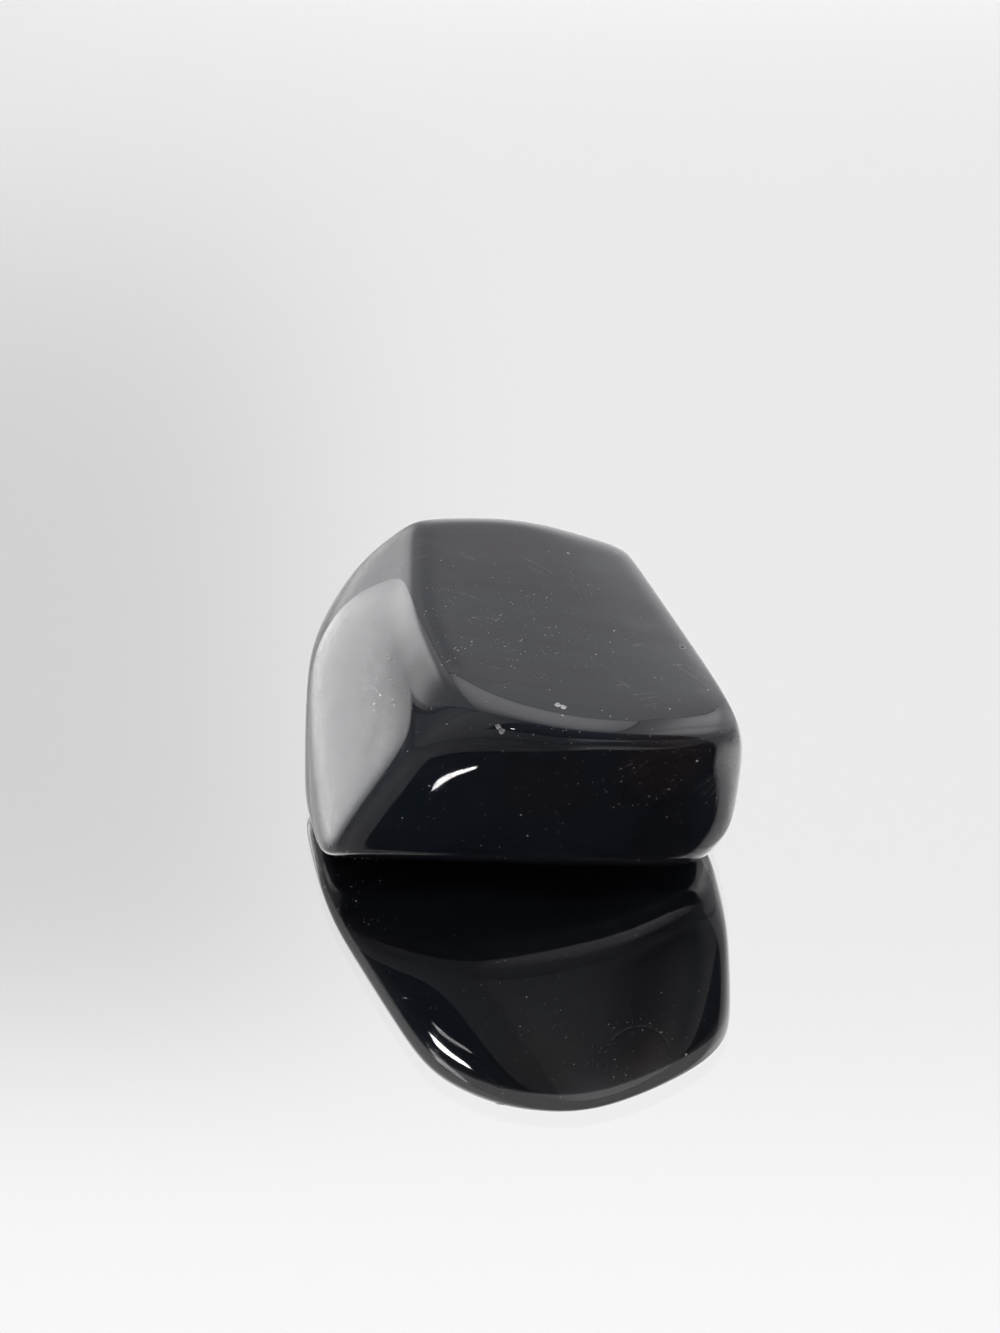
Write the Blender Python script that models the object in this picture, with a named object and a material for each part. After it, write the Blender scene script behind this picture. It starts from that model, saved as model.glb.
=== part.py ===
"""Tumbled obsidian stone: one polished lump of volcanic glass with worn flat sides and rounded edges.

Metres, +Z up. The stone rests on a small flat at Z = 0, and the origin is below the middle of its box.
Its overhanging front looks along -Y, and +X is on its right.

The form is a block of flat sides whose edges a tumbling barrel has worn round. Each side is a plane, given by
the way it faces and its distance from the stone's heart. In a direction u the surface lies at
r(u) = (sum over the sides of max(0, u.n / d) ** hardness) ** (-1 / hardness).
Away from the edges that is the plane itself, and near an edge the planes melt into each other.
"""

from math import cos, radians, sin
from typing import NamedTuple

import bmesh
import bpy
import numpy as np
from mathutils import Vector

MM = 0.001

# Driving dimensions
HEART_HEIGHT = 7.0 * MM
EDGE_HARDNESS = 26.0
REST_FLAT_DEPTH = 0.06 * MM
FORM_SUBDIVISIONS = 7
FORM_TRIANGLES = 8000
CREASE_ANGLE = radians(40.0)


class Side(NamedTuple):
    """One worn flat side: its turn from the front towards +X and its tilt up, in degrees, and its distance."""

    turn: float
    tilt: float
    distance: float


SIDES = {
    "front": Side(4.5, -15.5, 11.9 * MM),
    "front_left": Side(264.5, -4.0, 15.15 * MM),
    "front_right": Side(39.0, -8.0, 15.4 * MM),
    "front_right_middle": Side(18.0, -15.5, 13.0 * MM),
    "front_brow_left": Side(343.5, -1.0, 12.75 * MM),
    "front_left_shoulder": Side(320.0, 48.5, 12.85 * MM),
    "front_crown": Side(353.5, 47.5, 14.45 * MM),
    "front_crown_right": Side(33.0, 45.5, 15.25 * MM),
    "front_under": Side(357.0, -52.0, 10.0 * MM),
    "front_belly": Side(342.5, -84.5, 7.65 * MM),
    "right": Side(110.0, 0.5, 10.3 * MM),
    "right_brow": Side(87.5, 34.5, 14.4 * MM),
    "right_crown": Side(102.0, 74.0, 8.45 * MM),
    "right_under": Side(66.5, -36.5, 15.05 * MM),
    "back": Side(184.0, 23.5, 13.6 * MM),
    "back_left": Side(232.0, 31.5, 16.0 * MM),
    "back_right": Side(167.0, 14.0, 12.75 * MM),
    "left": Side(284.5, 26.0, 10.45 * MM),
    "left_back": Side(255.0, 26.0, 13.9 * MM),
    "left_brow": Side(280.0, 8.0, 13.05 * MM),
    "left_shoulder": Side(286.5, 43.5, 10.7 * MM),
    "left_crown": Side(269.5, 46.0, 10.7 * MM),
    "left_under": Side(210.5, -53.0, 9.75 * MM),
    "top": Side(177.0, 88.5, 8.4 * MM),
    "top_right": Side(85.0, 84.0, 8.25 * MM),
    "base": Side(0.0, -90.0, HEART_HEIGHT),
}

OBSIDIAN_COLOUR = (0.006, 0.0065, 0.008, 1.0)
OBSIDIAN_ROUGHNESS = 0.04


def facing(turn: float, tilt: float) -> Vector:
    """The unit vector that faces a turn from the front (-Y) towards +X, tilted up, both in degrees."""
    a, e = radians(turn), radians(tilt)
    return Vector((sin(a) * cos(e), -cos(a) * cos(e), sin(e)))


def worn_radius(directions: np.ndarray) -> np.ndarray:
    """The distance from the heart to the surface along each unit direction."""
    total = np.zeros(len(directions))
    for side in SIDES.values():
        reach = directions @ np.array(facing(side.turn, side.tilt)) / side.distance
        total += np.maximum(reach, 0.0) ** EDGE_HARDNESS
    return total ** (-1.0 / EDGE_HARDNESS)


def fine_form() -> bpy.types.Mesh:
    """A fine ball with each point pushed out to the worn surface, around the heart at its height."""
    form = bmesh.new()
    bmesh.ops.create_icosphere(form, subdivisions=FORM_SUBDIVISIONS, radius=1.0)
    directions = np.array([vertex.co.normalized() for vertex in form.verts])
    for vertex, direction, radius in zip(form.verts, directions, worn_radius(directions)):
        vertex.co = Vector(direction * radius) + Vector((0.0, 0.0, HEART_HEIGHT))
    mesh = bpy.data.meshes.new("obsidian_stone")
    form.to_mesh(mesh)
    form.free()
    return mesh


def thinned(stone: bpy.types.Object) -> bmesh.types.BMesh:
    """The stone's form with wide triangles on its flats and narrow ones left along its rounded edges."""
    decimate = stone.modifiers.new("Thin out the flats", "DECIMATE")
    decimate.ratio = FORM_TRIANGLES / len(stone.data.polygons)
    decimate.use_collapse_triangulate = True
    form = bmesh.new()
    form.from_object(stone, bpy.context.evaluated_depsgraph_get())
    stone.modifiers.remove(decimate)
    return form


def cut_resting_flat(form: bmesh.types.BMesh) -> None:
    """Takes the lowest skin off, so that the stone rests on a true flat."""
    lowest = min(vertex.co.z for vertex in form.verts)
    skin = form.verts[:] + form.edges[:] + form.faces[:]
    plane = Vector((0.0, 0.0, lowest + REST_FLAT_DEPTH))
    cut = bmesh.ops.bisect_plane(form, geom=skin, plane_co=plane, plane_no=Vector((0, 0, -1)), clear_outer=True)
    rim = [item for item in cut["geom_cut"] if isinstance(item, bmesh.types.BMEdge)]
    flat = bmesh.ops.contextual_create(form, geom=rim)["faces"]
    bmesh.ops.triangulate(form, faces=flat)
    bmesh.ops.recalc_face_normals(form, faces=form.faces[:])


def set_on_origin(form: bmesh.types.BMesh) -> None:
    """Moves the stone so that its flat is at Z = 0 and the middle of its box is above the origin."""
    points = np.array([vertex.co for vertex in form.verts])
    low, high = points.min(axis=0), points.max(axis=0)
    middle = (low + high) / 2.0
    bmesh.ops.translate(form, verts=form.verts[:], vec=Vector((-middle[0], -middle[1], -low[2])))


def obsidian() -> bpy.types.Material:
    """Polished black volcanic glass."""
    material = bpy.data.materials.new("obsidian")
    material.use_nodes = True
    shader = material.node_tree.nodes["Principled BSDF"]
    shader.inputs["Base Color"].default_value = OBSIDIAN_COLOUR
    shader.inputs["Roughness"].default_value = OBSIDIAN_ROUGHNESS
    shader.inputs["Metallic"].default_value = 0.0
    shader.inputs["IOR"].default_value = 1.5
    return material


def main() -> None:
    """Clears the scene and makes the stone."""
    for thing in list(bpy.data.objects):
        bpy.data.objects.remove(thing)
    mesh = fine_form()
    stone = bpy.data.objects.new("obsidian_stone", mesh)
    bpy.context.scene.collection.objects.link(stone)
    form = thinned(stone)
    cut_resting_flat(form)
    set_on_origin(form)
    form.to_mesh(mesh)
    form.free()
    mesh.materials.append(obsidian())
    mesh.shade_smooth()
    mesh.set_sharp_from_angle(angle=CREASE_ANGLE)


main()
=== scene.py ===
"""Tumbled obsidian stone, dressed for a close look.

The stone is one polished lump of volcanic glass. Its form is a block of worn flat sides whose edges melt into
each other; on top of that come the small things a hand lens shows: two edge chips, a pit, the ring of an old
knock, a slight unevenness of the polish, hairlines, faint darker bands and dust. It lies on pale silvered glass in a
light tent with an open front. Metres throughout; the form's own sizes are in millimetres and turned into
metres once.
"""

import logging
from dataclasses import dataclass, field
from enum import Enum
from math import cos, degrees, pi, radians, sin

import bmesh
import bpy
import numpy as np
from mathutils import Matrix, Vector


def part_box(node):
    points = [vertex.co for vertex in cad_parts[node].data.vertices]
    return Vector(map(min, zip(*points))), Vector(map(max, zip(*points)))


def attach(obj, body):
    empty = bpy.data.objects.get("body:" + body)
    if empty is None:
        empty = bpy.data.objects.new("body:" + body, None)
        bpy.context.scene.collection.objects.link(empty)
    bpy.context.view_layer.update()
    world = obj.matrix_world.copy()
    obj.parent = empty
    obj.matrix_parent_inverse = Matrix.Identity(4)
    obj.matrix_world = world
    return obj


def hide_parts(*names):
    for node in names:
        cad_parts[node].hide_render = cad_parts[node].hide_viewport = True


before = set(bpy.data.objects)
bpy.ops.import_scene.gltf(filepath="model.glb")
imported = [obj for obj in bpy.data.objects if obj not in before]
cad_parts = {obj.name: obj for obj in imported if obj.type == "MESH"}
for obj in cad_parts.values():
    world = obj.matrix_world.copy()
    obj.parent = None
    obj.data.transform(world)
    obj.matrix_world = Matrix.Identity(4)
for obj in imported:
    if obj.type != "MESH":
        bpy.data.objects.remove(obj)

LOG = logging.getLogger("obsidian stone")
MM = 0.001
NODE = "obsidian_stone"
IMAGE_SIZE = (1000, 1333)
Array = np.ndarray
Triple = tuple[float, float, float]


# ---------------------------------------------------------------------------------------------------------
# Shader maths


class Wire:
    """One output of a shader node, with the operators that Math nodes stand behind."""

    def __init__(self, bench: "Bench", socket: bpy.types.NodeSocket) -> None:
        """Holds a socket and the bench that its tree is worked on.

        Args:
            bench: The bench that adds nodes to the socket's tree.
            socket: The output that the wire stands for.
        """
        self.bench = bench
        self.socket = socket

    def _maths(self, operation: str, *values: "Wire | float") -> "Wire":
        """Adds one Math node.

        Args:
            operation: The node's operation.
            values: What goes into it, in order.

        Returns:
            The node's output.
        """
        return self.bench.node("ShaderNodeMath", {"operation": operation}, dict(enumerate(values)))

    def __add__(self, other: "Wire | float") -> "Wire":
        """The sum of two values."""
        return self._maths("ADD", self, other)

    def __radd__(self, other: float) -> "Wire":
        """The sum of a number and a value."""
        return self._maths("ADD", other, self)

    def __sub__(self, other: "Wire | float") -> "Wire":
        """The difference of two values."""
        return self._maths("SUBTRACT", self, other)

    def __rsub__(self, other: float) -> "Wire":
        """A number less a value."""
        return self._maths("SUBTRACT", other, self)

    def __mul__(self, other: "Wire | float") -> "Wire":
        """The product of two values."""
        return self._maths("MULTIPLY", self, other)

    def __rmul__(self, other: float) -> "Wire":
        """The product of a number and a value."""
        return self._maths("MULTIPLY", other, self)

    def __truediv__(self, other: "Wire | float") -> "Wire":
        """The quotient of two values."""
        return self._maths("DIVIDE", self, other)

    def __abs__(self) -> "Wire":
        """The value without its sign."""
        return self._maths("ABSOLUTE", self)

    def __neg__(self) -> "Wire":
        """The value with its sign turned."""
        return self._maths("MULTIPLY", self, -1.0)

    def most(self, other: "Wire | float") -> "Wire":
        """The larger of two values."""
        return self._maths("MAXIMUM", self, other)

    def least(self, other: "Wire | float") -> "Wire":
        """The smaller of two values."""
        return self._maths("MINIMUM", self, other)

    def over(self, level: "Wire | float") -> "Wire":
        """1 where the value is above a level, 0 elsewhere."""
        return self._maths("GREATER_THAN", self, level)

    def angle(self, other: "Wire | float") -> "Wire":
        """The angle in degrees whose rise is this value and whose run is another."""
        return self._maths("ARCTAN2", self, other) * degrees(1.0)

    def within(self, middle: float, half: float) -> "Wire":
        """How far the value is from a middle, to the fourth power: 1 at half a panel's width."""
        off = (self - middle) / half
        square = off * off
        return square * square

    def between(self, low: "Wire | float", high: "Wire | float") -> "Wire":
        """1 where the value is between two levels, 0 elsewhere."""
        return self.over(low) * (1.0 - self.over(high))

    def rise(self, low: float, high: float) -> "Wire":
        """A smooth step.

        Args:
            low: Where it leaves 0.
            high: Where it reaches 1; below low, the step falls instead.

        Returns:
            The step's value.
        """
        settings = {"interpolation_type": "SMOOTHERSTEP", "clamp": True}
        if low < high:
            return self.bench.node("ShaderNodeMapRange", settings, {"Value": self, 1: low, 2: high})
        return self.bench.node("ShaderNodeMapRange", settings, {"Value": self, 1: high, 2: low, 3: 1.0, 4: 0.0})


class Bench:
    """Adds nodes to one node tree."""

    def __init__(self, tree: bpy.types.NodeTree) -> None:
        """Clears the tree.

        Args:
            tree: The node tree to work on.
        """
        self.tree = tree
        tree.nodes.clear()

    def node(self, kind: str, settings: dict | None = None, values: dict | None = None, out: int | str = 0) -> Wire:
        """Adds a node.

        Args:
            kind: The node's type.
            settings: Its properties, set before its sockets.
            values: Its inputs by name or place: numbers, tuples or wires.
            out: The output that is wanted.

        Returns:
            That output.
        """
        made = self.tree.nodes.new(kind)
        for name, value in (settings or {}).items():
            setattr(made, name, value)
        for name, value in (values or {}).items():
            if isinstance(value, Wire):
                self.tree.links.new(value.socket, made.inputs[name])
            else:
                made.inputs[name].default_value = value
        return Wire(self, made.outputs[out] if made.outputs else None)

    def vector(self, operation: str, *values: "Wire | Triple", out: int | str = 0) -> Wire:
        """Adds a Vector Math node.

        Args:
            operation: Its operation.
            values: What goes into it, in order.
            out: The output that is wanted.

        Returns:
            That output.
        """
        return self.node("ShaderNodeVectorMath", {"operation": operation}, dict(enumerate(values)), out)

    def blend(self, factor: Wire, first: "Wire | tuple", second: "Wire | tuple") -> Wire:
        """Mixes two colours.

        Args:
            factor: 0 for the first, 1 for the second.
            first: A colour.
            second: Another colour.

        Returns:
            The mixed colour.
        """
        whole = [value if isinstance(value, Wire) else (*value[:3], 1.0) for value in (first, second)]
        settings = {"data_type": "RGBA", "blend_type": "MIX", "clamp_factor": True}
        return self.node("ShaderNodeMix", settings, {0: factor, 6: whole[0], 7: whole[1]}, 2)


# ---------------------------------------------------------------------------------------------------------
# The stone's form


def facing(turn: float, tilt: float) -> Array:
    """The unit vector that looks a turn from the front (-Y) towards +X and a tilt up, both in degrees."""
    a, e = radians(turn), radians(tilt)
    return np.array([sin(a) * cos(e), -cos(a) * cos(e), sin(e)])


@dataclass(frozen=True)
class Side:
    """One worn flat side: the way it faces, in degrees, and its distance from the stone's heart in mm."""

    turn: float
    tilt: float
    distance: float


@dataclass(frozen=True)
class Scoop:
    """A small conchoidal bite: its place as seen from the heart, in degrees, and its size in mm.

    The glass is crushed white from its middle out; in a pit, from the share hollow of its radius out.
    """

    turn: float
    tilt: float
    across: float
    depth: float
    hollow: float = 0.0


@dataclass(frozen=True)
class KnockRing:
    """The shallow broken ring that a hard knock leaves: its place in degrees and its size in mm.

    It is whole except between healed_from and healed_to, in degrees round the ring from its right.
    """

    turn: float
    tilt: float
    radius: float
    width: float
    depth: float
    healed_from: float
    healed_to: float

    def beads(self) -> tuple["Trail", ...]:
        """The crumbs of crushed glass that are left in the ring's lower part."""
        around = [radians(angle) for angle in range(190, 360, 17)]
        spread = degrees(self.radius / 13.0)
        spots = [(self.turn + spread * cos(a) / cos(radians(self.tilt)), self.tilt + spread * sin(a)) for a in around]
        return tuple(Trail(one, other, 3, 0.07) for one, other in zip(spots[::2], spots[1::2]))


@dataclass
class WornForm:
    """The stone's skin as its distance from the heart, in mm, along any direction."""

    sides: tuple[Side, ...]
    scoops: tuple[Scoop, ...]
    ring: KnockRing
    hardness: float = 26.0
    heart_height: float = 7.0
    resting_skin: float = 0.06
    unevenness: float = 0.003
    swells: int = 14
    seed: int = 5
    step: float = 2e-4
    waves: list[tuple[Array, float]] = field(init=False)
    flat_height: float = field(init=False)

    def __post_init__(self) -> None:
        """Draws the slow swells of the polish and finds the resting flat."""
        dice = np.random.default_rng(self.seed)
        self.waves = []
        for _ in range(self.swells):
            way = dice.normal(size=3)
            way *= dice.uniform(9.0, 26.0) / np.linalg.norm(way)
            self.waves.append((way, dice.uniform(0.0, 2.0 * pi)))
        around, down = np.meshgrid(np.arange(0.0, 360.0, 2.0), np.arange(-90.0, -20.0, 1.0))
        under = np.array([facing(turn, tilt) for turn, tilt in zip(around.ravel(), down.ravel())])
        self.flat_height = float((self.block(under) * under[:, 2]).min()) + self.resting_skin

    def block(self, directions: Array) -> Array:
        """The worn block without its small marks.

        Args:
            directions: Unit vectors, one a row.

        Returns:
            The distance along each, in mm.
        """
        total = np.zeros(len(directions))
        for side in self.sides:
            reach = directions @ facing(side.turn, side.tilt) / side.distance
            total += np.maximum(reach, 0.0) ** self.hardness
        return total ** (-1.0 / self.hardness)

    def spot(self, turn: float, tilt: float) -> tuple[Array, Array]:
        """A place on the worn block.

        Args:
            turn: Its turn from the front towards +X, seen from the heart, in degrees.
            tilt: Its tilt up, in degrees.

        Returns:
            The place, in mm from the heart, and the skin's unit normal there.
        """
        toward = facing(turn, tilt)
        place = toward * self.block(toward[None])[0]
        normal = np.zeros(3)
        for side in self.sides:
            reach = max(place @ facing(side.turn, side.tilt) / side.distance, 0.0)
            normal += facing(side.turn, side.tilt) * reach ** (self.hardness - 1.0) / side.distance
        return place, normal / np.linalg.norm(normal)

    def groove(self, points: Array) -> Array:
        """How deep the knock's ring is.

        Args:
            points: Places on the skin, in mm from the heart.

        Returns:
            The depth at each, in mm.
        """
        ring = self.ring
        centre, outward = self.spot(ring.turn, ring.tilt)
        right = np.cross([0.0, 0.0, 1.0], outward)
        right /= np.linalg.norm(right)
        up = np.cross(outward, right)
        away = points - centre
        across, rise = away @ right, away @ up
        angle = np.degrees(np.arctan2(rise, across)) % 360.0
        off = (np.hypot(across, rise) - ring.radius) / ring.width
        healed = (angle > ring.healed_from) & (angle < ring.healed_to)
        broken = 0.55 + 0.45 * np.sin(np.radians(angle) * 23.0 + 2.0 * np.sin(np.radians(angle) * 5.0))
        here = (np.linalg.norm(away, axis=1) < 1.6 * ring.radius) & ~healed
        return np.where(here, ring.depth * np.exp(-off * off) * broken, 0.0)

    def reach(self, directions: Array) -> Array:
        """The finished skin: the block, its unevenness, ring, scoops and resting flat.

        Args:
            directions: Unit vectors, one a row.

        Returns:
            The distance along each, in mm.
        """
        radius = self.block(directions)
        for way, phase in self.waves:
            radius += self.unevenness / self.swells**0.5 * (np.sin(directions @ way + phase) - 1.0)
        radius -= self.groove(directions * radius[:, None])
        for scoop in self.scoops:
            place, outward = self.spot(scoop.turn, scoop.tilt)
            ball = (scoop.across**2 / 4.0 + scoop.depth**2) / (2.0 * scoop.depth)
            along = directions @ (place + outward * (ball - scoop.depth))
            within = along**2 - np.sum((place + outward * (ball - scoop.depth)) ** 2) + ball**2
            near = along - np.sqrt(np.maximum(within, 0.0))
            radius = np.where((within > 0.0) & (along > 0.0), np.minimum(radius, near), radius)
        down = np.minimum(directions[:, 2], -1e-6)
        return np.minimum(radius, self.flat_height / down)

    def normals(self, directions: Array) -> Array:
        """The finished skin's normals, from the skin a hair to each side.

        Args:
            directions: Unit vectors, one a row.

        Returns:
            A unit normal for each.
        """
        pole = np.where(np.abs(directions[:, 2:]) > 0.9, [[1.0, 0.0, 0.0]], [[0.0, 0.0, 1.0]])
        first = np.cross(pole, directions)
        first /= np.linalg.norm(first, axis=1)[:, None]
        second = np.cross(directions, first)
        spans = []
        for way in (first, second):
            ends = []
            for sign in (1.0, -1.0):
                aside = directions + sign * self.step * way
                aside /= np.linalg.norm(aside, axis=1)[:, None]
                ends.append(aside * self.reach(aside)[:, None])
            spans.append(ends[0] - ends[1])
        outward = np.cross(spans[0], spans[1])
        return outward / np.linalg.norm(outward, axis=1)[:, None]


# ---------------------------------------------------------------------------------------------------------
# The stone's finish


@dataclass(frozen=True)
class Patch:
    """A soft patch of another tint in the glass: its place in degrees and its radii in mm."""

    turn: float
    tilt: float
    core: float
    edge: float
    colour: Triple


@dataclass(frozen=True)
class ObsidianFinish:
    """Black volcanic glass, tumbled to a glassy polish. Lengths are in mm."""

    glass: Triple = (0.0240, 0.0270, 0.0370)
    band: Triple = (0.0190, 0.0200, 0.0270)
    chip: Triple = (0.50, 0.50, 0.51)
    dust: Triple = (0.42, 0.41, 0.40)
    roughness: float = 0.018
    smear: float = 0.03
    chip_roughness: float = 0.42
    refraction: float = 1.5
    band_width: float = 1.9
    dust_cell: float = 0.24
    dust_largest: float = 0.022
    hairline_depth: float = 0.002
    dust_height: float = 0.01

    def material(self, form: WornForm, heart: Array, patches: tuple[Patch, ...]) -> bpy.types.Material:
        """Makes the finish for one stone.

        Args:
            form: The stone's form, for the places of its marks.
            heart: Where the stone's heart is, in mm.
            patches: The tinted patches in the glass.

        Returns:
            The material.
        """
        material = bpy.data.materials.new("tumble-polished obsidian")
        material.use_nodes = True
        bench = Bench(material.node_tree)
        here = bench.node("ShaderNodeTexCoord", out="Object")
        place = bench.node("ShaderNodeVectorMath", {"operation": "SCALE"}, {0: here, 3: 1.0 / MM})
        facing_up = bench.vector("DOT_PRODUCT", bench.node("ShaderNodeTexCoord", out="Normal"), (0.0, 0.0, 1.0), out=1)

        bands = self._faint_bands(bench, place)
        colour = bench.blend(bands, self.glass, self.band)
        for patch in patches:
            middle = form.spot(patch.turn, patch.tilt)[0] + heart
            away = bench.vector("DISTANCE", place, tuple(middle), out=1)
            cloud = self._noise(bench, place, 0.35, 2.0) - 0.5
            colour = bench.blend((away + cloud * 3.0).rise(patch.edge, patch.core), colour, patch.colour)

        bite = self._bites(bench, place, form, heart)
        specks = self._dust(bench, place, facing_up)
        colour = bench.blend(specks, bench.blend(bite, colour, self.chip), self.dust)
        hairlines = self._hairlines(bench, place)
        smear = self._noise(bench, place, 0.16, 3.0).rise(0.45, 0.75) * self.smear
        roughness = (self.roughness + smear * facing_up.rise(-0.2, 0.8) + hairlines * 0.12).most(
            bite * self.chip_roughness
        )
        height = specks * self.dust_height - hairlines * self.hairline_depth
        height = height + bite * self._noise(bench, place, 3.2, 3.0) * 0.04
        bump = bench.node("ShaderNodeBump", {}, {"Strength": 1.0, "Distance": MM, "Height": height})
        shader = bench.node(
            "ShaderNodeBsdfPrincipled",
            {},
            {
                "Base Color": colour,
                "Roughness": roughness.most(specks * 0.7),
                "IOR": self.refraction,
                "Normal": bump,
            },
        )
        bench.node("ShaderNodeOutputMaterial", {}, {"Surface": shader})
        return material

    def _noise(self, bench: Bench, place: Wire, per_mm: float, detail: float) -> Wire:
        """Plain noise.

        Args:
            bench: Where to add it.
            place: The place, in mm.
            per_mm: How fine it is.
            detail: How many finer octaves it has.

        Returns:
            Its value, from 0 to 1.
        """
        return bench.node("ShaderNodeTexNoise", {}, {"Vector": place, "Scale": per_mm, "Detail": detail})

    def _faint_bands(self, bench: Bench, place: Wire) -> Wire:
        """Faint darker bands in the colour: thin sheets that dip gently to the back.

        Args:
            bench: Where to add them.
            place: The place, in mm.

        Returns:
            0 in the glass colour, 1 in the darker band colour.
        """
        sheet = bench.vector("DOT_PRODUCT", place, (0.10, 0.93, 0.35), out=1) * (1.0 / self.band_width)
        along = bench.vector("DOT_PRODUCT", place, (0.99, -0.08, 0.05), out=1) * 0.06
        across = bench.vector("DOT_PRODUCT", place, (0.02, -0.35, 0.93), out=1) * 0.09
        layered = bench.node("ShaderNodeCombineXYZ", {}, {0: sheet, 1: along, 2: across})
        return self._noise(bench, layered, 1.0, 3.0).rise(0.36, 0.66)

    def _bites(self, bench: Bench, place: Wire, form: WornForm, heart: Array) -> Wire:
        """Where the skin is broken.

        Args:
            bench: Where to add it.
            place: The place, in mm.
            form: The stone's form.
            heart: Where the stone's heart is, in mm.

        Returns:
            1 where it is broken.
        """
        ragged = (self._noise(bench, place, 7.0, 2.0) - 0.5) * 0.26
        broken = 0.0 * ragged
        for scoop in form.scoops:
            middle = form.spot(scoop.turn, scoop.tilt)[0] + heart
            away = bench.vector("DISTANCE", place, tuple(middle), out=1) + ragged
            crushed = away.rise(0.58 * scoop.across, 0.42 * scoop.across)
            if scoop.hollow:
                crushed = crushed * away.rise(0.4 * scoop.hollow * scoop.across, 0.6 * scoop.hollow * scoop.across)
            broken = broken.most(crushed)
        return broken

    def _dust(self, bench: Bench, place: Wire, facing_up: Wire) -> Wire:
        """Specks of dust, most of them where the skin looks up.

        Args:
            bench: Where to add them.
            place: The place, in mm.
            facing_up: The height of the skin's normal.

        Returns:
            1 on a speck.
        """
        settings = {"feature": "F1", "voronoi_dimensions": "3D"}
        cells = {"Vector": place, "Scale": 1.0 / self.dust_cell, "Randomness": 1.0}
        away = bench.node("ShaderNodeTexVoronoi", settings, cells) * self.dust_cell
        chance = bench.node("ShaderNodeTexVoronoi", settings, cells, out="Color")
        parts = bench.node("ShaderNodeSeparateColor", {}, {"Color": chance}, out=0)
        flurry = self._noise(bench, place, 0.22, 2.0).rise(0.35, 0.7)
        most = self.dust_largest * (0.25 + 0.75 * flurry) * (0.35 + 0.65 * facing_up.rise(-0.7, 0.5))
        size = parts * parts * most
        return (away - size).rise(0.008, -0.004) * parts.rise(0.25, 0.4)

    def _hairlines(self, bench: Bench, place: Wire) -> Wire:
        """Fine lines that grit drew in the tumbling barrel.

        Args:
            bench: Where to add them.
            place: The place, in mm.

        Returns:
            1 on a line.
        """
        lines = 0.0 * bench.vector("LENGTH", place, out=1)
        for turn, seat in ((0.4, 3.0), (1.5, 11.0), (2.5, 23.0)):
            along = bench.vector("DOT_PRODUCT", place, (0.12 * cos(turn), 0.12 * sin(turn), 0.02), out=1)
            across = bench.vector("DOT_PRODUCT", place, (-1.4 * sin(turn), 1.4 * cos(turn), 0.9), out=1)
            drawn = bench.node("ShaderNodeCombineXYZ", {}, {0: along, 1: across, 2: seat})
            grain = self._noise(bench, drawn, 1.0, 1.0)
            lines = lines.most(abs(grain - 0.62).rise(0.006, 0.001))
        return lines * self._noise(bench, place, 0.3, 1.0).rise(0.5, 0.7)


@dataclass
class Stone:
    """The whole stone as one piece."""

    form: WornForm
    finish: ObsidianFinish
    patches: tuple[Patch, ...]
    subdivisions: int = 7
    finest: float = 0.035
    heart: Array = field(init=False)
    scale: float = field(init=False)

    def build(self) -> bpy.types.Object:
        """Makes the stone where its solid stands and dresses it.

        Returns:
            The stone.
        """
        ball = bmesh.new()
        bmesh.ops.create_icosphere(ball, subdivisions=self.subdivisions, radius=1.0)
        for scoop in self.form.scoops:
            self._refine(ball, scoop.turn, scoop.tilt, 0.0, 0.75 * scoop.across)
        ring = self.form.ring
        self._refine(ball, ring.turn, ring.tilt, ring.radius - 0.35, ring.radius + 0.35)
        directions = np.array([vertex.co.normalized() for vertex in ball.verts])
        points = directions * self.form.reach(directions)[:, None]
        self._seat(points)
        for vertex, point in zip(ball.verts, points * self.scale + self.heart):
            vertex.co = Vector(point * MM)
        mesh = bpy.data.meshes.new("stone")
        ball.to_mesh(mesh)
        ball.free()
        mesh.shade_smooth()
        mesh.normals_split_custom_set_from_vertices(self.form.normals(directions).tolist())
        mesh.materials.append(self.finish.material(self.form, self.heart, self.patches))
        stone = bpy.data.objects.new("polished_stone", mesh)
        bpy.context.scene.collection.objects.link(stone)
        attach(stone, "root")
        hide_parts(NODE)
        LOG.info("%s: %d triangles, heart at %s mm", stone.name, len(mesh.polygons), self.heart.round(3))
        return stone

    def _refine(self, ball: bmesh.types.BMesh, turn: float, tilt: float, inner: float, outer: float) -> None:
        """Halves the triangles round a mark until they are fine enough for it.

        Args:
            ball: The unit ball that the stone is drawn from.
            turn: The mark's turn, in degrees.
            tilt: The mark's tilt, in degrees.
            inner: Where the refined band starts, in mm from the mark.
            outer: Where it ends.
        """
        place = self.form.spot(turn, tilt)[0]
        distance = float(np.linalg.norm(place))
        for _ in range(3):
            points = np.array([vertex.co for vertex in ball.verts]) * distance
            off = np.linalg.norm(points - place, axis=1)
            ball.verts.index_update()
            coarse = [
                edge
                for edge in ball.edges
                if edge.calc_length() * distance > self.finest * 1.5
                and all(inner - 0.2 < off[vertex.index] < outer + 0.2 for vertex in edge.verts)
            ]
            bmesh.ops.subdivide_edges(ball, edges=coarse, cuts=1)
            bmesh.ops.triangulate(ball, faces=[face for face in ball.faces if len(face.verts) > 3])

    def _seat(self, points: Array) -> None:
        """Finds where the stone stands, and its scale, from the box of the solid that it stands for.

        Args:
            points: The skin, in mm from the heart.
        """
        low, high = (np.array(corner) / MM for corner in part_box(NODE))
        own_low, own_high = points.min(axis=0), points.max(axis=0)
        self.scale = float(((high - low) / (own_high - own_low)).min())
        middle = (low + high) / 2.0 - self.scale * (own_low + own_high) / 2.0
        self.heart = np.array([middle[0], middle[1], low[2] - self.scale * own_low[2]])


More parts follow.
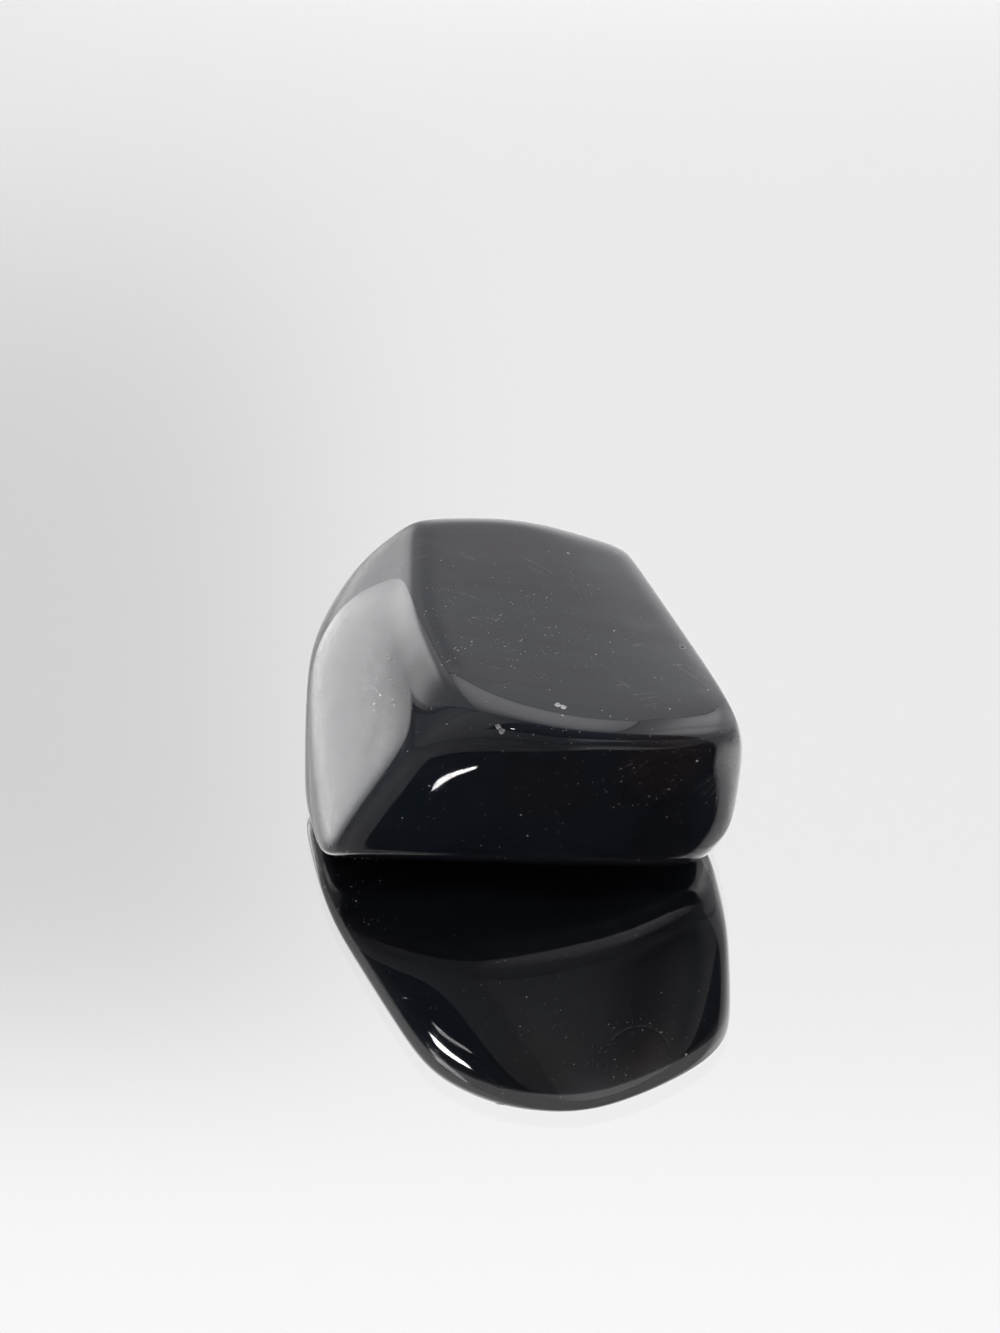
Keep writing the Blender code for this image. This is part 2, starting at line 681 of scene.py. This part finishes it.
@dataclass(frozen=True)
class Grain:
    """One grain of dust or glass on the skin: its place as seen from the heart, in degrees, and its size in mm."""

    turn: float
    tilt: float
    across: float
    stretch: float = 1.0


@dataclass(frozen=True)
class Flurry:
    """A cloud of fine dust on the skin: its middle and its spreads in degrees, how many grains, and their size."""

    turn: float
    tilt: float
    turn_spread: float
    tilt_spread: float
    count: int
    across: float


@dataclass(frozen=True)
class Trail:
    """A row of grains from one place to another, as seen from the heart, in degrees; bow in degrees to its left."""

    start: tuple[float, float]
    end: tuple[float, float]
    count: int
    across: float
    bow: float = 0.0


@dataclass
class Dust:
    """All the loose and stuck grains on the stone, as one piece."""

    stone: Stone
    grains: tuple[Grain, ...]
    flurries: tuple[Flurry, ...]
    trails: tuple[Trail, ...]
    colour: Triple = (0.80, 0.79, 0.78)
    rim: int = 7
    seed: int = 11

    def build(self) -> bpy.types.Object:
        """Makes the grains on the stone's skin.

        Returns:
            The dust.
        """
        dice = np.random.default_rng(self.seed)
        dust = bmesh.new()
        for grain in self._all(dice):
            self._lay(dust, grain, dice)
        mesh = bpy.data.meshes.new("dust")
        dust.to_mesh(mesh)
        dust.free()
        mesh.shade_smooth()
        mesh.materials.append(self._material())
        piece = bpy.data.objects.new("dust_on_the_stone", mesh)
        bpy.context.scene.collection.objects.link(piece)
        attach(piece, "root")
        LOG.info("%s: %d triangles", piece.name, len(mesh.polygons))
        return piece

    def _all(self, dice: np.random.Generator) -> list[Grain]:
        """Every grain: the single ones, the rows and the clouds.

        Args:
            dice: The source of chance.

        Returns:
            The grains.
        """
        grains = list(self.grains)
        ring = self.stone.form.ring
        for trail in (*self.trails, *ring.beads()):
            start, end = np.array(trail.start), np.array(trail.end)
            across = np.array([start[1] - end[1], end[0] - start[0]]) / (np.hypot(*(end - start)) + 1e-6)
            for share in dice.uniform(0.0, 1.0, trail.count):
                turn, tilt = start + (end - start) * share + across * trail.bow * 4.0 * share * (1.0 - share)
                turn, tilt = turn + dice.normal(0.0, 0.15), tilt + dice.normal(0.0, 0.15)
                grains.append(Grain(turn, tilt, trail.across * dice.uniform(0.4, 1.2), dice.uniform(1.0, 2.2)))
        for flurry in self.flurries:
            middle = facing(flurry.turn, flurry.tilt)
            right = np.cross([0.0, 0.0, 1.0], middle)
            right /= np.linalg.norm(right)
            up = np.cross(middle, right)
            for _ in range(flurry.count):
                off = right * dice.normal(0.0, radians(flurry.turn_spread))
                off = off + up * dice.normal(0.0, radians(flurry.tilt_spread))
                x, y, z = (middle + off) / np.linalg.norm(middle + off)
                size = flurry.across * dice.lognormal(0.0, 0.45)
                grains.append(Grain(degrees(np.arctan2(x, -y)), degrees(np.arcsin(z)), size, dice.uniform(1.0, 2.4)))
        return grains

    def _lay(self, dust: bmesh.types.BMesh, grain: Grain, dice: np.random.Generator) -> None:
        """Lays one grain on the skin: a low irregular crumb, sunk a little at its rim.

        Args:
            dust: Where to add it.
            grain: The grain.
            dice: The source of chance.
        """
        toward = facing(grain.turn, grain.tilt)
        place = toward * self.stone.form.reach(toward[None])[0] * self.stone.scale + self.stone.heart
        outward = self.stone.form.normals(toward[None])[0]
        first = np.cross(outward, dice.normal(size=3))
        first /= np.linalg.norm(first)
        second = np.cross(outward, first)
        radius = grain.across / 2.0
        top = dust.verts.new(Vector((place + outward * radius * dice.uniform(0.3, 0.7)) * MM))
        corners = []
        for angle in np.arange(self.rim) * (2.0 * pi / self.rim):
            reach = radius * dice.uniform(0.5, 1.2)
            spot = place + reach * (first * cos(angle) * grain.stretch + second * sin(angle)) - outward * 0.1 * radius
            corners.append(dust.verts.new(Vector(spot * MM)))
        for one, other in zip(corners, corners[1:] + corners[:1]):
            dust.faces.new((top, one, other))

    def _material(self) -> bpy.types.Material:
        """Pale matt dust, some grains greyer than others.

        Returns:
            The material.
        """
        material = bpy.data.materials.new("pale dust")
        material.use_nodes = True
        bench = Bench(material.node_tree)
        place = bench.node("ShaderNodeTexCoord", out="Object")
        shade = bench.node("ShaderNodeTexNoise", {}, {"Vector": place, "Scale": 900.0, "Detail": 1.0})
        dark = tuple(0.25 * part for part in self.colour)
        colour = bench.blend(shade.rise(0.3, 0.6), dark, self.colour)
        shader = bench.node("ShaderNodeBsdfPrincipled", {}, {"Base Color": colour, "Roughness": 0.8})
        bench.node("ShaderNodeOutputMaterial", {}, {"Surface": shader})
        return material


# ---------------------------------------------------------------------------------------------------------
# The studio


@dataclass(frozen=True)
class Glow:
    """A soft bright (or, below 0, dim) panel of light on a wall: its middle, its half sizes and its strength."""

    along: float
    up: float
    half_wide: float
    half_high: float
    strength: float


@dataclass(frozen=True)
class Wall:
    """One lit cloth of the tent: an even light and the places where the lamps outside shine through."""

    even: float
    glows: tuple[Glow, ...]


@dataclass(frozen=True)
class Lamp:
    """A bare lamp, as seen from the stone: its turn from the front and its height, half sizes in degrees."""

    turn: float
    height: float
    half_wide: float
    half_high: float
    strength: float


@dataclass(frozen=True)
class Doorway:
    """The dark of the room past the open front: its turns from the front and its foot, in degrees."""

    left: float
    right: float
    foot: float


@dataclass(frozen=True)
class Opening:
    """The tent's open front. Its edges lean: turns from the front at the foot, and how far they lean in going up."""

    left_foot: float
    left_lean: float
    right_foot: float
    right_lean: float
    roof_edge: float


@dataclass(frozen=True)
class LightTent:
    """A box of lit cloth round the stone with an open front. Its height is 1, so the other sizes are shares.

    A wall's glows are placed along its width (or its depth) and up its height; the roof's along and back.
    In the open front they are placed by turn and height, where 1 is a quarter turn.
    """

    left_away: float
    right_away: float
    back_away: float
    opening: Opening
    roof: Wall
    left: Wall
    right: Wall
    back: Wall
    front_left: Wall
    front_right: Wall
    doorway: Doorway
    lamp: Lamp
    colour: Triple = (1.0, 0.993, 1.0)
    seam: float = 0.014
    seam_dark: float = 0.42
    foot_seam: float = 1.2
    foot_from: float = 60.0

    def strength(self, bench: Bench) -> Wire:
        """The tent's light.

        Args:
            bench: Where to add the nodes.

        Returns:
            The light from each direction.
        """
        toward = bench.node("ShaderNodeTexCoord", out="Generated")
        x, y, z = (bench.node("ShaderNodeSeparateXYZ", {}, {0: toward}, out=part) for part in range(3))
        z = abs(z)
        front, rightward = 1.0 - y.over(0.0), x.over(0.0)
        turn, lift = x.angle(-y), z.angle(-y)
        height = bench.node("ShaderNodeMath", {"operation": "ARCSINE"}, {0: z}) * degrees(1.0)
        edge = self.opening
        left_edge = height * (edge.left_lean / 90.0) - edge.left_foot
        right_edge = height * (edge.right_lean / 90.0) + edge.right_foot
        side = (-x / self.left_away).most(x / self.right_away)
        wall = side.most(y / self.back_away)
        roof = (1.0 - wall.over(z)) * (1.0 - front * (1.0 - lift.over(edge.roof_edge)))
        opened = turn.between(left_edge, right_edge) * (1.0 - roof)
        cloth = (1.0 - roof) * (1.0 - opened)
        back = cloth * (1.0 - front) * (y / self.back_away).over(side)
        flank = cloth * (1.0 - back)
        door = self.doorway
        dark = opened * turn.between(-door.left, door.right) * lift.over(door.foot)
        lit = opened * (1.0 - dark)
        far = roof * z + (back + flank) * wall + opened
        across, deep, high = x / far, y / far, z / far
        quarter, climb = turn / 90.0, height / 90.0
        light = roof * self._cloth(bench, self.roof, across, deep)
        light = light + back * self._cloth(bench, self.back, across, high)
        light = light + flank * (1.0 - rightward) * self._cloth(bench, self.left, deep, high)
        light = light + flank * rightward * self._cloth(bench, self.right, deep, high)
        light = light + lit * (1.0 - rightward) * self._cloth(bench, self.front_left, quarter, climb)
        light = light + lit * rightward * self._cloth(bench, self.front_right, quarter, climb)
        reach = bench.node("ShaderNodeMath", {"operation": "COSINE"}, {0: height * radians(1.0)})
        rim = abs(turn - left_edge).least(abs(turn - right_edge)) * reach + 99.0 * roof * (1.0 - front)
        over = abs(lift - edge.roof_edge) + 99.0 * (1.0 - front * turn.between(left_edge, right_edge))
        light = light * self._seams((z, side, y / self.back_away), opened, height.rise(22.0, 12.0), rim.least(over) / 75.0)
        foot = height.rise(0.3 * self.foot_seam, 1.7 * self.foot_seam)
        foot = foot.most(abs(turn).rise(180.0 - self.foot_from, 190.0 - self.foot_from))
        light = light * (self.seam_dark + (1.0 - self.seam_dark) * foot)
        lamp = self.lamp
        beam = abs(turn - lamp.turn).rise(1.3 * lamp.half_wide, 0.7 * lamp.half_wide)
        return light + beam * abs(height - lamp.height).rise(1.3 * lamp.half_high, 0.7 * lamp.half_high) * lamp.strength

    def _cloth(self, bench: Bench, wall: Wall, along: Wire, up: Wire) -> Wire:
        """The light of one wall.

        Args:
            bench: Where to add the nodes.
            wall: The wall.
            along: The place along it.
            up: The place up it.

        Returns:
            The wall's light there.
        """
        light = wall.even + 0.0 * up
        for glow in wall.glows:
            fall = along.within(glow.along, glow.half_wide) + up.within(glow.up, glow.half_high)
            light = light + bench.node("ShaderNodeMath", {"operation": "EXPONENT"}, {0: -fall}) * glow.strength
        return light.most(0.0)

    def _seams(self, shares: tuple[Wire, ...], opened: Wire, low: Wire, rim: Wire) -> Wire:
        """How much light is left where two cloths meet and along the rim of the open front.

        Args:
            shares: How far each wall is along the direction, as a share of its distance.
            opened: 1 in the open front.
            low: 1 near the floor, where the corners aren't sewn.
            rim: How far the rim of the open front is.

        Returns:
            1 away from the seams.
        """
        nearest = shares[0].most(shares[1]).most(shares[2])
        second = shares[0].least(shares[1]).most(shares[2].least(shares[0].most(shares[1])))
        gap = (1.0 - second.most(0.0) / nearest + opened + low).least(rim)
        return self.seam_dark + (1.0 - self.seam_dark) * gap.rise(0.4 * self.seam, 1.4 * self.seam)


class Tabletop(Enum):
    """What the stone lies on."""

    SILVERED_GLASS = "silvered glass"
    MATT_CARD = "matt card"


@dataclass
class Studio:
    """Pale tabletop, a light tent and the camera."""

    tent: LightTent
    tabletop: Tabletop = Tabletop.SILVERED_GLASS
    glass_thickness: float = 1.4
    clearance: float = 0.005
    table_size: float = 4000.0
    silver: Triple = (0.95, 0.95, 0.95)
    camera_rise: float = 33.93
    camera_distance: float = 249.66
    picture_scale: float = 14.5
    aim: Triple = (-1.102, 14.979, -0.061)

    def build(self) -> None:
        """Sets up the table, the light and the camera."""
        self._table()
        self._light()
        self._camera()

    def _table(self) -> None:
        """Lays the pale tabletop."""
        half = self.table_size / 2.0
        for name, height in (("tabletop", -self.clearance), ("silvering", -self.glass_thickness)):
            if self.tabletop is Tabletop.MATT_CARD and name == "silvering":
                continue
            corners = [(-half, -half, height), (half, -half, height), (half, half, height), (-half, half, height)]
            mesh = bpy.data.meshes.new(name)
            mesh.from_pydata([Vector(corner) * MM for corner in corners], [], [(0, 1, 2, 3)])
            mesh.materials.append(self._table_material(name))
            plane = bpy.data.objects.new(name, mesh)
            bpy.context.scene.collection.objects.link(plane)
            LOG.info("%s: %.1f m square", name, self.table_size * MM)

    def _table_material(self, name: str) -> bpy.types.Material:
        """The tabletop's clear glass, its silvering, or matt card.

        Args:
            name: Which of the sheets.

        Returns:
            The material.
        """
        material = bpy.data.materials.new(name)
        material.use_nodes = True
        bench = Bench(material.node_tree)
        if name == "silvering":
            shader = bench.node("ShaderNodeBsdfGlossy", {}, {"Color": (*self.silver, 1.0), "Roughness": 0.0})
        elif self.tabletop is Tabletop.SILVERED_GLASS:
            shader = bench.node("ShaderNodeBsdfGlass", {}, {"Roughness": 0.0, "IOR": 1.5})
        else:
            shader = bench.node("ShaderNodeBsdfDiffuse", {}, {"Color": (0.8, 0.8, 0.8, 1.0)})
        bench.node("ShaderNodeOutputMaterial", {}, {"Surface": shader})
        return material

    def _light(self) -> None:
        """Puts up the light tent."""
        world = bpy.data.worlds.new("light tent")
        world.use_nodes = True
        bpy.context.scene.world = world
        bench = Bench(world.node_tree)
        settings = {"Color": (*self.tent.colour, 1.0), "Strength": self.tent.strength(bench)}
        bench.node("ShaderNodeOutputWorld", {}, {"Surface": bench.node("ShaderNodeBackground", {}, settings)})
        bpy.context.scene.view_settings.view_transform = "Standard"
        LOG.info("light tent: %d nodes", len(world.node_tree.nodes))

    def _camera(self) -> None:
        """Places the camera; the height of the picture and its scale at the stone give the lens."""
        width, height = IMAGE_SIZE
        data = bpy.data.cameras.new("camera")
        data.sensor_fit = "VERTICAL"
        data.sensor_height = 36.0
        data.lens = self.picture_scale * self.camera_distance * data.sensor_height / height
        data.clip_start = 0.01
        data.clip_end = 50.0
        data.shift_y = 0.5 / height
        camera = bpy.data.objects.new("camera", data)
        bpy.context.scene.collection.objects.link(camera)
        rise = radians(self.camera_rise)
        back = Vector((0.0, -cos(rise), sin(rise)))
        stand = Matrix.Translation((Vector(self.aim) + back * self.camera_distance) * MM)
        camera.matrix_world = stand @ back.to_track_quat("Z", "Y").to_matrix().to_4x4()
        bpy.context.scene.camera = camera
        LOG.info("camera: %.1f mm lens, %d x %d picture", data.lens, width, height)


SIDES = (
    Side(4.5, -15.5, 11.9),
    Side(264.5, -4.0, 15.15),
    Side(39.0, -8.0, 15.4),
    Side(18.0, -15.5, 13.0),
    Side(343.5, -1.0, 12.75),
    Side(320.0, 48.5, 12.85),
    Side(353.5, 47.5, 14.45),
    Side(33.0, 45.5, 15.25),
    Side(357.0, -52.0, 10.0),
    Side(342.5, -84.5, 7.65),
    Side(110.0, 0.5, 10.3),
    Side(87.5, 34.5, 14.4),
    Side(102.0, 74.0, 8.45),
    Side(66.5, -36.5, 15.05),
    Side(184.0, 23.5, 13.6),
    Side(232.0, 31.5, 16.0),
    Side(167.0, 14.0, 12.75),
    Side(284.5, 26.0, 10.45),
    Side(255.0, 26.0, 13.9),
    Side(280.0, 8.0, 13.05),
    Side(286.5, 43.5, 10.7),
    Side(269.5, 46.0, 10.7),
    Side(210.5, -53.0, 9.75),
    Side(177.0, 88.5, 8.4),
    Side(85.0, 84.0, 8.25),
    Side(0.0, -90.0, 7.0),
)

SCOOPS = (
    Scoop(turn=353.8, tilt=30.4, across=0.36, depth=0.07),
    Scoop(turn=355.0, tilt=29.3, across=0.34, depth=0.07),
    Scoop(turn=11.8, tilt=35.2, across=0.36, depth=0.06),
    Scoop(turn=13.4, tilt=34.5, across=0.36, depth=0.06),
    Scoop(turn=12.3, tilt=32.6, across=0.14, depth=0.02),
    Scoop(turn=80.5, tilt=29.9, across=0.40, depth=0.07, hollow=0.9),
)

RING = KnockRing(turn=31.7, tilt=13.2, radius=2.1, width=0.07, depth=0.012, healed_from=15.0, healed_to=170.0)

PATCHES = (
    Patch(turn=36.0, tilt=16.0, core=0.5, edge=5.0, colour=(0.034, 0.027, 0.030)),
    Patch(turn=8.0, tilt=14.0, core=0.3, edge=4.0, colour=(0.030, 0.027, 0.031)),
    Patch(turn=332.3, tilt=2.2, core=1.0, edge=6.0, colour=(0.020, 0.027, 0.038)),
    Patch(turn=190.0, tilt=46.0, core=0.5, edge=7.0, colour=(0.032, 0.028, 0.038)),
)

GRAINS = (
    Grain(74.7, 49.1, 0.16),
    Grain(61.4, 48.3, 0.10),
    Grain(274.6, 87.1, 0.10),
    Grain(175.6, 78.5, 0.10),
    Grain(320.7, 77.1, 0.10),
    Grain(43.6, 26.7, 0.15),
    Grain(25.4, 30.3, 0.10),
    Grain(52.9, 32.9, 0.10),
    Grain(10.8, 39.7, 0.10),
    Grain(61.6, 23.7, 0.10),
    Grain(312.8, 31.7, 0.10),
    Grain(306.8, 26.1, 0.09, 2.4),
    Grain(330.8, 31.3, 0.09),
    Grain(2.3, -5.9, 0.14),
    Grain(7.7, -3.2, 0.12),
    Grain(49.2, -0.5, 0.10),
    Grain(40.2, -2.6, 0.09),
    Grain(348.5, -9.9, 0.09, 1.8),
    Grain(288.0, 33.6, 0.12),
    Grain(156.0, 43.3, 0.12, 2.4),
    Grain(359.5, 28.4, 0.10),
    Grain(3.5, 28.8, 0.10),
    Grain(12.9, 26.3, 0.10),
    Grain(11.2, 22.7, 0.08),
    Grain(34.0, 6.6, 0.13),
    Grain(38.5, 7.8, 0.13, 1.8),
    Grain(26.1, 13.5, 0.12),
    Grain(28.4, 17.3, 0.10),
    Grain(25.3, 17.7, 0.10),
    Grain(43.6, 14.4, 0.20),
    Grain(307.7, -24.2, 0.18),
)

FLURRIES = (
    Flurry(0.0, 85.0, 26.0, 26.0, 300, 0.030),
    Flurry(315.0, 62.0, 13.0, 9.0, 70, 0.036),
    Flurry(20.0, 50.0, 22.0, 12.0, 90, 0.032),
    Flurry(33.0, 18.0, 14.0, 5.0, 110, 0.024),
    Flurry(10.0, 2.0, 26.0, 14.0, 100, 0.030),
    Flurry(300.0, 30.0, 12.0, 10.0, 50, 0.034),
    Flurry(308.0, -24.0, 5.0, 5.0, 30, 0.040),
    Flurry(90.0, 20.0, 16.0, 12.0, 40, 0.034),
)

TRAILS = (
    Trail((324.7, 43.3), (328.8, 47.9), 16, 0.05),
    Trail((255.0, 52.6), (258.0, 68.8), 22, 0.05, 3.0),
    Trail((300.0, 66.0), (330.0, 74.0), 18, 0.05, 2.0),
    Trail((8.0, 30.0), (16.0, 28.5), 8, 0.06),
)

TENT = LightTent(
    left_away=0.645,
    right_away=0.512,
    back_away=0.985,
    opening=Opening(left_foot=126.9, left_lean=63.1, right_foot=65.7, right_lean=23.2, roof_edge=87.4),
    roof=Wall(0.61, (Glow(0.0, -0.58, 0.8, 0.4, 0.4), Glow(-0.04, 0.58, 0.6, 0.5, 1.6))),
    left=Wall(0.65, (Glow(1.0, 0.45, 0.42, 0.6, 0.7), Glow(0.76, 0.17, 0.3, 0.22, 2.9))),
    right=Wall(0.65, (Glow(0.09, 0.43, 0.18, 0.2, 1.3), Glow(0.67, 0.55, 0.38, 0.2, 1.0), Glow(0.47, 0.3, 0.5, 0.55, 0.78))),
    back=Wall(
        0.88,
        (
            Glow(0.15, 0.12, 0.28, 0.24, 1.3),
            Glow(-0.6, 0.12, 0.25, 0.2, 1.2),
            Glow(-0.2, 0.66, 0.15, 0.17, -0.2),
            Glow(0.0, 1.05, 0.6, 0.22, 0.12),
        ),
    ),
    front_left=Wall(0.2, (Glow(-0.74, 0.33, 0.37, 0.47, 0.3), Glow(-1.02, 0.46, 0.29, 0.36, 0.13))),
    front_right=Wall(0.25, (Glow(0.28, 0.24, 0.2, 0.12, 0.5), Glow(0.46, 0.4, 0.56, 0.19, 0.44), Glow(0.38, 0.17, 0.19, 0.15, -0.25))),
    doorway=Doorway(left=44.1, right=79.2, foot=31.8),
    lamp=Lamp(turn=-32.6, height=38.0, half_wide=1.1, half_high=0.36, strength=90.0),
)


def main() -> None:
    """Builds the stone, its dust and the studio."""
    logging.basicConfig(level=logging.INFO, format="%(name)s: %(message)s")
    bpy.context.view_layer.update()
    form = WornForm(sides=SIDES, scoops=SCOOPS, ring=RING)
    stone = Stone(form=form, finish=ObsidianFinish(), patches=PATCHES)
    stone.build()
    Dust(stone=stone, grains=GRAINS, flurries=FLURRIES, trails=TRAILS).build()
    Studio(tent=TENT).build()


if __name__ == "__main__":
    main()
